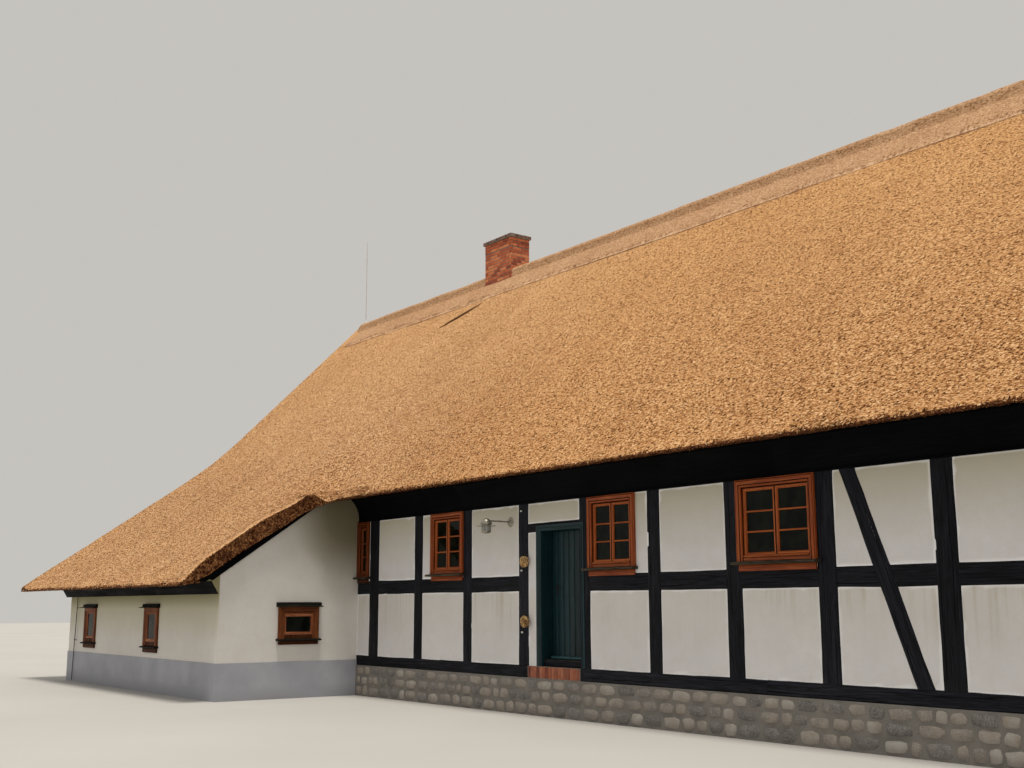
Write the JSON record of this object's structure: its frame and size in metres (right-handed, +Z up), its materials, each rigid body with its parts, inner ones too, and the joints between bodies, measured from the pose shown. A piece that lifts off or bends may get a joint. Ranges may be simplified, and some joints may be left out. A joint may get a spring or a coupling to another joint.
{
  "type": "thatched cottage",
  "caption": "Long half-timbered cottage under a thatched roof, with a low rendered wing under its catslide and a front door that opens inwards.",
  "frame": {"origin": "on the ground, under the middle of the bounding box", "axes": "+X along the ridge from the low wing towards the right gable, +Y from the front wall into the house, +Z up"},
  "size_m": [27.93, 14.868, 12.178],
  "materials": {
    "fieldstone": "rough split fieldstone in lime mortar",
    "plinth_paint": "matt bluish grey plinth paint on render",
    "floor_boards": "worn floor boards",
    "black_timber": "weathered black stain with drying cracks",
    "white_render": "hand-floated lime render with faint run-off stains",
    "window_wood": "satin orange-brown wood stain",
    "window_glass": "clear float glass",
    "aged_wood": "weathered dark brown boards",
    "door_paint": "satin dark petrol paint",
    "dark_metal": "dark forged metal",
    "brick": "weathered red brick with grey joints",
    "thatch": "dressed reed thatch, golden tan with darker flecks",
    "ridge_thatch": "brown sewn ridge of straw and heather",
    "galvanised_metal": "dull galvanised steel",
    "straw": "bound straw"
  },
  "bodies": {
    "house": {"main_plinth": "fieldstone", "wing_plinth": "plinth_paint", "ground_floor": "floor_boards", "front_frame_left": "black_timber", "front_frame_right": "black_timber", "front_infill_left": "white_render", "front_infill_right": "white_render", "infill_over_door": "white_render", "door_lintel": "black_timber", "window_1": "window_wood", "window_1_glass": "window_glass", "window_2": "window_wood", "window_2_glass": "window_glass", "window_3": "window_wood", "window_3_glass": "window_glass", "window_4": "window_wood", "window_4_glass": "window_glass", "window_5": "window_wood", "window_5_glass": "window_glass", "front_wall_plate": "black_timber", "back_wall_plate": "black_timber", "back_frame": "black_timber", "back_infill": "white_render", "back_window_1": "window_wood", "back_window_2": "window_wood", "back_window_3": "window_wood", "back_window_glass": "window_glass", "right_gable_frame": "black_timber", "right_gable_infill": "white_render", "gable_window_1": "window_wood", "gable_window_2": "window_wood", "gable_window_glass": "window_glass", "left_wall": "white_render", "left_window": "aged_wood", "left_window_glass": "window_glass", "wing_front_wall": "white_render", "wing_window_1": "aged_wood", "wing_window_1_glass": "window_glass", "wing_window_2": "aged_wood", "wing_window_2_glass": "window_glass", "wing_side_wall": "white_render", "wing_side_window": "aged_wood", "wing_side_window_glass": "window_glass", "wing_fascia": "black_timber", "wing_verge_board": "black_timber", "door_frame": "door_paint", "door_threshold": "black_timber", "door_brick_base": "brick", "thatch_front": "thatch", "thatch_back": "thatch", "thatch_catslide": "thatch", "ridge_cap": "ridge_thatch", "chimney": "brick", "lightning_rod": "galvanised_metal", "lightning_conductor": "galvanised_metal", "wall_lamp": "galvanised_metal", "post_ornament_upper": "straw", "post_ornament_lower": "straw"},
    "front_door": {"door_leaf": "door_paint", "door_handle": "dark_metal"}
  },
  "joints": [
    {"name": "front_door_hinge", "type": "hinge", "parent": "house", "child": "front_door", "pos_m": [2.427, -3.495, 1.8], "axis": [0, 0, -1], "range_deg": [0, 95]}
  ]
}
